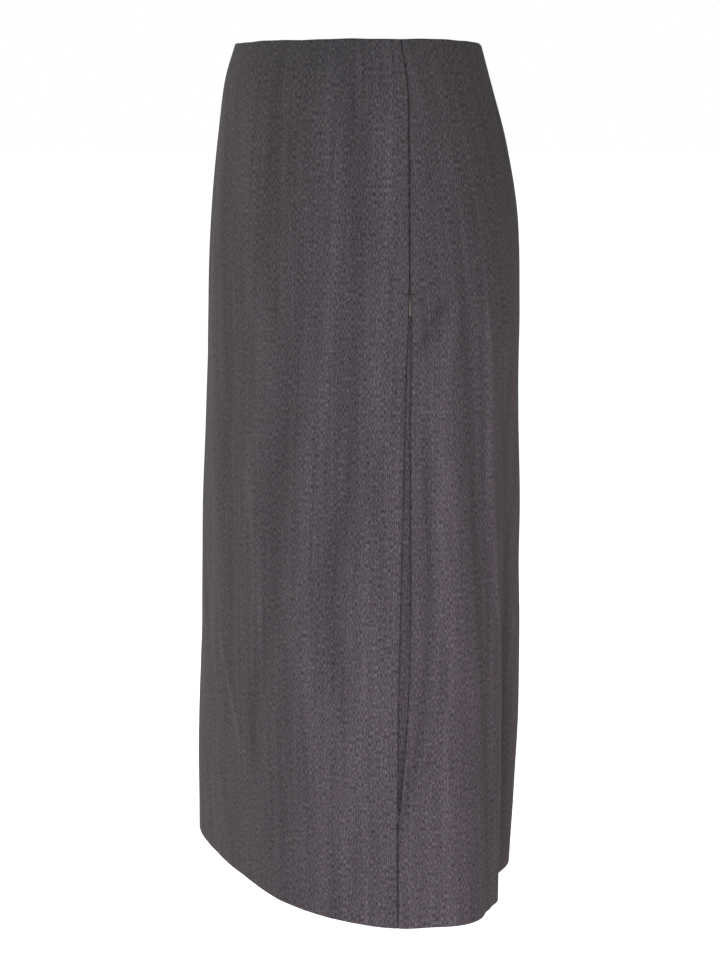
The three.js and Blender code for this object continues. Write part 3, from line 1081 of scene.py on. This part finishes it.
def overlockTube(angle, top, bottom, edge):
    # a zigzag of thread over the free edge of an allowance
    count = int((bottom - top) / overlock["pitch"]) * 2
    depths = np.linspace(top, bottom, count)
    inward = np.where(np.arange(count) % 2, overlock["width"], 0) * -np.sign(edge)
    inset = allowance["inset"] + allowance["thickness"] + overlock["clear"]
    points, outward = clothFrame(angle(depths), depths, edge + inward, inset)
    return tube(points, outward, overlock["radius"], 4)


def makeOverlock():
    reach = allowance["reach"]
    for side in ("left", "right"):
        lineAngle = seamAngle if side == "left" else lambda depths: 180 - seamAngle(depths)
        tubes = [
            overlockTube(lineAngle, span["top"], span["bottom"], edge)
            for span in sideAllowances.values()
            for edge in (-reach, reach)
        ]
        joinTubes("side_seam_overlock_" + side, tubes, threadMaterial)
    top, bottom = allowance["backTop"], allowance["backBottom"]
    tubes = [
        overlockTube(lambda depths: np.full_like(depths, 90), top, bottom, edge)
        for edge in (-reach, reach)
    ]
    joinTubes("back_seam_overlock", tubes, threadMaterial)


makeBarTacks()
makeHemAndTopStitches()
makeOverlock()
print("stitches made")


# The concealed zip: two tapes and a coil behind the centre back seam. The slider and its pull are
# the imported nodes, with a better finish.
zipper = {
    "top": 2.5,
    "bottom": 203,
    "tapeReach": 13,
    "tapeThickness": 0.5,
    "tapeClear": 0.2,
    "tapeGap": 0.6,
    "sliderTop": 9,
    "sliderFoot": 23,
    "sliderGap": 4,
    "partingRun": 5,
    "teethTop": 24,
    "teethEnd": 4,  # short of the tapes' end, as the stitches' end is
    "teethPitch": 1.3,
    "toothReach": 2.1,
    "toothRadius": 0.42,
    "toothInset": 1.05,
    "toothArch": 0.35,
    "toothLean": 0.45,
    "stitchEvery": 3.2,
    "stitchStart": 6,
    "stitchEnd": 3,
    "stitchAsides": (-8.5, 8.5),
    "stitchInset": 2.3,
    "stitchLength": 2.2,
    "stitchRadius": 0.15,
}


def tapeEdge(depth):
    # the tapes part round the slider
    near = smoothStep(depth, zipper["sliderTop"] - zipper["partingRun"], zipper["sliderTop"])
    near = near * (1 - smoothStep(depth, zipper["sliderFoot"], zipper["sliderFoot"] + zipper["partingRun"]))
    return zipper["tapeGap"] + (zipper["sliderGap"] - zipper["tapeGap"]) * near


def tapeInset(depth):
    return wallThickness(depth) + zipper["tapeClear"]


def makeZip():
    rows = rowsThrough([zipper["top"], zipper["sliderTop"], zipper["sliderFoot"], zipper["bottom"]])
    middle = np.full_like(rows, 90)
    left = stripDegrees(rows, middle, -zipper["tapeReach"], -tapeEdge(rows))
    for side in ("left", "right"):
        degrees = sided(left, side)
        depths = grid(rows, degrees)
        thickness = np.full(degrees.shape, zipper["tapeThickness"])
        tape = clothShell("zip_tape_" + side, depths, degrees, tapeInset(depths), thickness,
                          tapeMaterial, centre=90)
        wearOnSkirt(tape, "cloth")
    across = np.linspace(-1, 1, 6)
    teeth = np.arange(zipper["teethTop"], zipper["bottom"] - zipper["teethEnd"], zipper["teethPitch"])[:, None]
    lean = np.where(np.arange(len(teeth)) % 2, zipper["toothLean"], -zipper["toothLean"])[:, None]
    inset = tapeInset(teeth) + zipper["toothInset"] - zipper["toothArch"] * across**2
    points, outward = clothFrame(90, teeth + lean * across, across * zipper["toothReach"], inset)
    tubes = [tube(line, normals, zipper["toothRadius"], 6) for line, normals in zip(points, outward)]
    joinTubes("zip_coil", tubes, coilMaterial)
    first, last = zipper["sliderFoot"] + zipper["stitchStart"], zipper["bottom"] - zipper["stitchEnd"]
    places = np.arange(first, last, zipper["stitchEvery"])
    stitches = []
    for aside in zipper["stitchAsides"]:
        stitches += runningStitches(90.0, places, aside, zipper["stitchInset"], zipper["stitchLength"],
                                    zipper["stitchRadius"])
    joinTubes("zip_stitching", stitches, threadMaterial)
    for node in ("zip_slider", "zip_pull"):
        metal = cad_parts[node]
        metal.data.materials.clear()
        metal.data.materials.append(enamelMaterial)


makeZip()
print("zip made")


# Floor, backdrop and light
studio = {
    "aimDrop": 0.36,  # how far below the waist the lights aim
    "floorDrop": 1.04,
    "floorRadius": 70,
    "floorSides": 96,
    "floorColours": [(240, 240, 240), (244, 244, 244)],
    "floorMottle": 900,
    "floorGlow": 0.18,
    "floorLight": (255, 232, 230),
    "worldGlow": 0.18,
    "worldLight": (218, 250, 232),
}


def showsWhite(tree, glow, tint, strength, colour):
    # full white where the camera sees it, and a weaker tinted light on the skirt
    seen = addNode(tree, "ShaderNodeLightPath").outputs["Is Camera Ray"]
    mixed = addNode(tree, "ShaderNodeMix", data_type="RGBA")
    mixed.inputs[6].default_value = linear(*tint)
    mixed.inputs[7].default_value = (1, 1, 1, 1)
    tree.links.new(seen, mixed.inputs[0])
    tree.links.new(mixed.outputs[2], colour)
    tree.links.new(mathNode(tree, "MULTIPLY_ADD", seen, 1 - glow, glow), strength)


def makeStage():
    mesh = bpy.data.meshes.new("floor")
    shape = bmesh.new()
    bmesh.ops.create_circle(shape, cap_ends=True, segments=studio["floorSides"], radius=studio["floorRadius"])
    bmesh.ops.translate(shape, verts=shape.verts, vec=(0, 0, -studio["floorDrop"]))
    shape.to_mesh(mesh)
    shape.free()
    material, tree, shader = newMaterial("paleFloor", {
        "Roughness": 0.9,
        "Specular IOR Level": 0.1,
    })
    showsWhite(tree, studio["floorGlow"], studio["floorLight"],
               shader.inputs["Emission Strength"], shader.inputs["Emission Color"])
    coordinates = addNode(tree, "ShaderNodeTexCoord")
    tone = noise(tree, coordinates.outputs["Object"], [studio["floorMottle"]] * 3, 1)
    tree.links.new(toneRamp(tree, tone, studio["floorColours"]), shader.inputs["Base Color"])
    mesh.materials.append(material)
    floor = bpy.data.objects.new("floor", mesh)
    bpy.context.scene.collection.objects.link(floor)
    world = bpy.data.worlds.new("studioWhite")
    world.use_nodes = True
    background = world.node_tree.nodes["Background"]
    showsWhite(world.node_tree, studio["worldGlow"], studio["worldLight"],
               background.inputs["Strength"], background.inputs["Color"])
    bpy.context.scene.world = world


lights = tableOf(["name", "angle", "distance", "height", "size", "power", "colour"], [
    ("main", -28, 1.6, -0.84, 0.5, 13.3, (1, 0.87, 0.98)),
    ("side", 0, 2.2, -0.75, 0.5, 5, (1, 0.86, 0.94)),
    ("top", -30, 1.2, 0.4, 0.6, 0.9, (0.3, 1, 0.58)),
    ("rim", -140, 2.6, 0.4, 0.9, 18.5, (1, 0.88, 0.84)),
    ("back", 62, 2.6, -0.6, 1.2, 3.2, (1, 0.28, 0.3)),
    ("overhead", 156, 0.25, 1.5, 0.9, 5, (1, 0.98, 1)),
    ("inside", 0, 0, -0.02, 0.1, 0.24, (1, 0.97, 0.97)),
    ("behind", 158, 2.8, 0.1, 1.6, 18, (1, 0.95, 0.97)),
])


def makeLights():
    aim = Vector((0, 0, -studio["aimDrop"]))
    for light in lights:
        lamp = bpy.data.lights.new(light["name"], "AREA")
        lamp.size = light["size"]
        lamp.energy = light["power"]
        lamp.color = light["colour"]
        holder = bpy.data.objects.new(light["name"], lamp)
        turn = math.radians(light["angle"])
        distance = light["distance"]
        holder.location = (math.cos(turn) * distance, math.sin(turn) * distance, light["height"])
        holder.rotation_euler = (aim - holder.location).to_track_quat("-Z", "Y").to_euler()
        holder.visible_camera = False
        bpy.context.scene.collection.objects.link(holder)


makeStage()
makeLights()
bpy.context.scene.view_settings.view_transform = "Standard"
